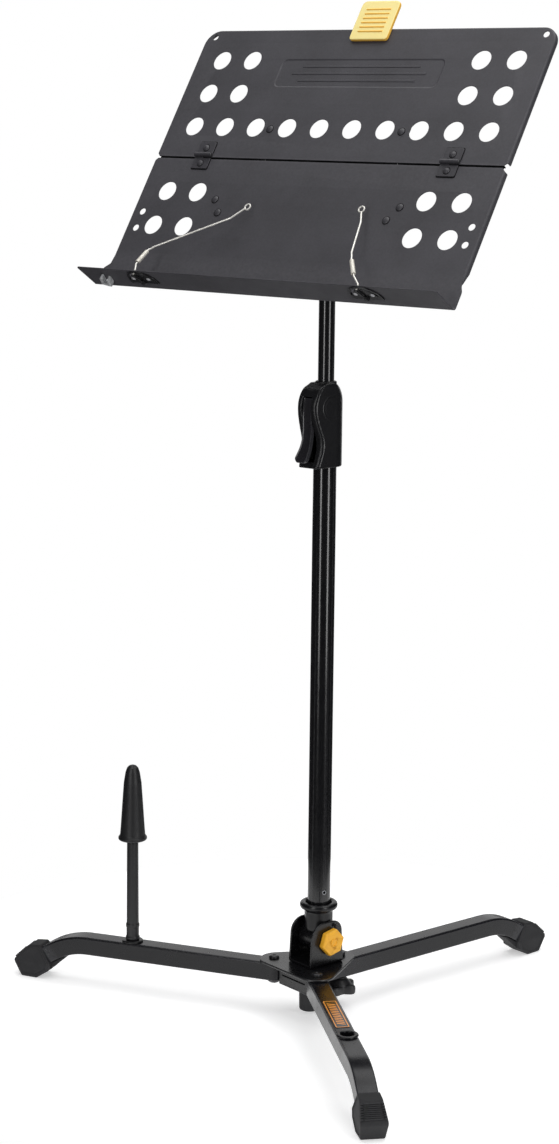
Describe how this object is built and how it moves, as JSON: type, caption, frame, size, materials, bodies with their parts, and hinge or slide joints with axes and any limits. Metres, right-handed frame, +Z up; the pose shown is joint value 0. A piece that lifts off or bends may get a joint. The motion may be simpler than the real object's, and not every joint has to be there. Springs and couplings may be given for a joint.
{
  "type": "folding music stand",
  "caption": "Tripod music stand with a tilting telescopic shaft, swivelling legs, squeeze clutch, folding perforated desk, page retainers, page clip and a peg for a brass instrument.",
  "frame": {"origin": "on the floor, under the middle of the stand's bounding box", "axes": "+Z up; the reader stands on the -Y side and +X is to their right"},
  "size_m": [0.6738, 0.652, 1.1929],
  "materials": {
    "desk_paint": "satin charcoal powder coat",
    "tube_paint": "gloss black paint",
    "leg_paint": "semi-gloss black powder coat",
    "black_plastic": "moulded, fine grain",
    "rubber": "matte",
    "zinc": "zinc plated",
    "nickel": "bright nickel plated wire",
    "yellow_plastic": "satin amber yellow",
    "clear_plastic": "clear moulded",
    "label_film": "printed film"
  },
  "bodies": {
    "base": {"hub_top_plate": "leg_paint", "hub_yoke": "leg_paint", "centre_bumper": "rubber", "back_leg": "leg_paint", "back_foot": "rubber", "back_leg_bolt": "zinc", "left_pivot_bolt": "zinc", "front_pivot_bolt": "zinc", "tilt_clevis": "leg_paint", "clevis_stop_pin": "zinc", "tilt_nut": "zinc"},
    "left_leg": {"left_leg": "leg_paint", "left_foot": "rubber", "left_leg_socket": "black_plastic", "peg_post": "black_plastic", "peg_cone": "black_plastic"},
    "front_leg": {"front_leg": "leg_paint", "front_foot": "rubber", "front_leg_socket": "black_plastic", "front_leg_label": "label_film"},
    "leg_lock_knob": {"leg_lock_knob": "black_plastic"},
    "tilt_knob": {"tilt_knob": "yellow_plastic", "tilt_bolt": "zinc"},
    "shaft": {"shaft_socket": "leg_paint", "lower_tube": "tube_paint", "clutch_left_shell": "black_plastic", "clutch_right_shell": "black_plastic", "lever_pin": "zinc", "clutch_spring": "zinc", "clutch_jaw": "zinc"},
    "clutch_lever": {"clutch_lever": "black_plastic"},
    "guide": {"guide_bush": "black_plastic"},
    "upper_tube": {"upper_tube": "tube_paint", "tube_glide": "black_plastic", "tilt_head": "black_plastic"},
    "desk": {"lower_panel": "desk_paint", "desk_bracket": "desk_paint", "desk_bolt": "zinc", "desk_nut": "zinc", "left_lower_leaf": "desk_paint", "right_lower_leaf": "desk_paint", "left_hinge_pin": "zinc", "right_hinge_pin": "zinc", "left_retainer_plate": "desk_paint", "right_retainer_plate": "desk_paint", "pencil_grip": "clear_plastic"},
    "upper_panel": {"upper_panel": "desk_paint", "left_upper_leaf": "desk_paint", "right_upper_leaf": "desk_paint", "left_stop_strap": "desk_paint", "right_stop_strap": "desk_paint"},
    "left_retainer": {"left_retainer_foot": "nickel", "left_retainer_coil": "nickel"},
    "left_retainer_arm": {"left_retainer_wire": "nickel"},
    "right_retainer": {"right_retainer_foot": "nickel", "right_retainer_coil": "nickel"},
    "right_retainer_arm": {"right_retainer_wire": "nickel"},
    "page_clip": {"clip_tab": "yellow_plastic"},
    "clip_jaw": {"clip_jaw": "black_plastic"}
  },
  "joints": [
    {"name": "shaft_tilt", "type": "hinge", "parent": "base", "child": "shaft", "pos_m": [0.03847, -0.04515, 0.093], "axis": [-0.9799, 0.1994, 0], "range_deg": [-10, 10]},
    {"name": "left_leg_swivel", "type": "hinge", "parent": "base", "child": "left_leg", "pos_m": [-0.00762, -0.07189, 0.06], "axis": [0, 0, 1], "range_deg": [-120, 0]},
    {"name": "front_leg_swivel", "type": "hinge", "parent": "base", "child": "front_leg", "pos_m": [0.07045, -0.08778, 0.06], "axis": [0, 0, 1], "range_deg": [0, 120]},
    {"name": "leg_lock_knob_turn", "type": "hinge", "parent": "base", "child": "leg_lock_knob", "pos_m": [0.04517, -0.01222, 0.025], "axis": [0, 0, 1], "range_deg": [-180, 180]},
    {"name": "tilt_knob_turn", "type": "hinge", "parent": "base", "child": "tilt_knob", "pos_m": [0.03847, -0.04515, 0.093], "axis": [0.9799, -0.1994, 0], "range_deg": [-120, 120]},
    {"name": "clutch_squeeze", "type": "hinge", "parent": "shaft", "child": "clutch_lever", "pos_m": [0.03847, -0.06765, 0.737], "axis": [1, 0, 0], "range_deg": [0, 8], "stiffness_Nm_per_rad": 1.5},
    {"name": "desk_swivel", "type": "hinge", "parent": "shaft", "child": "guide", "pos_m": [0.03847, -0.04515, 0.75], "axis": [0, 0, 1], "continuous": true},
    {"name": "height_slide", "type": "slide", "parent": "guide", "child": "upper_tube", "axis": [0, 0, 1], "range_m": [-0.13, 0.26]},
    {"name": "desk_tilt", "type": "hinge", "parent": "upper_tube", "child": "desk", "pos_m": [0.03847, -0.04515, 0.945], "axis": [1, 0, 0], "range_deg": [-55, 30]},
    {"name": "desk_fold", "type": "hinge", "parent": "desk", "child": "upper_panel", "pos_m": [0.03847, -0.05935, 1.01589], "axis": [1, 0, 0], "range_deg": [0, 125]},
    {"name": "left_retainer_swing", "type": "hinge", "parent": "desk", "child": "left_retainer", "pos_m": [-0.12853, -0.17122, 0.87391], "axis": [0, 0.5446, 0.8387], "range_deg": [-55, 0]},
    {"name": "left_retainer_flex", "type": "hinge", "parent": "left_retainer", "child": "left_retainer_arm", "pos_m": [-0.13345, -0.16196, 0.90597], "axis": [0.5942, -0.4381, -0.6746], "range_deg": [0, 12], "stiffness_Nm_per_rad": 0.15},
    {"name": "right_retainer_swing", "type": "hinge", "parent": "desk", "child": "right_retainer", "pos_m": [0.19047, -0.17122, 0.87391], "axis": [0, 0.5446, 0.8387], "range_deg": [0, 58]},
    {"name": "right_retainer_flex", "type": "hinge", "parent": "right_retainer", "child": "right_retainer_arm", "pos_m": [0.16233, -0.16093, 0.90831], "axis": [0.9232, 0.2094, 0.3224], "range_deg": [0, 12], "stiffness_Nm_per_rad": 0.15},
    {"name": "clip_slide", "type": "slide", "parent": "upper_panel", "child": "page_clip", "axis": [1, 0, 0], "range_m": [-0.2, 0.2]},
    {"name": "clip_squeeze", "type": "hinge", "parent": "page_clip", "child": "clip_jaw", "pos_m": [0.03647, 0.04808, 1.16552], "axis": [1, 0, 0], "range_deg": [0, 18], "stiffness_Nm_per_rad": 0.4}
  ]
}
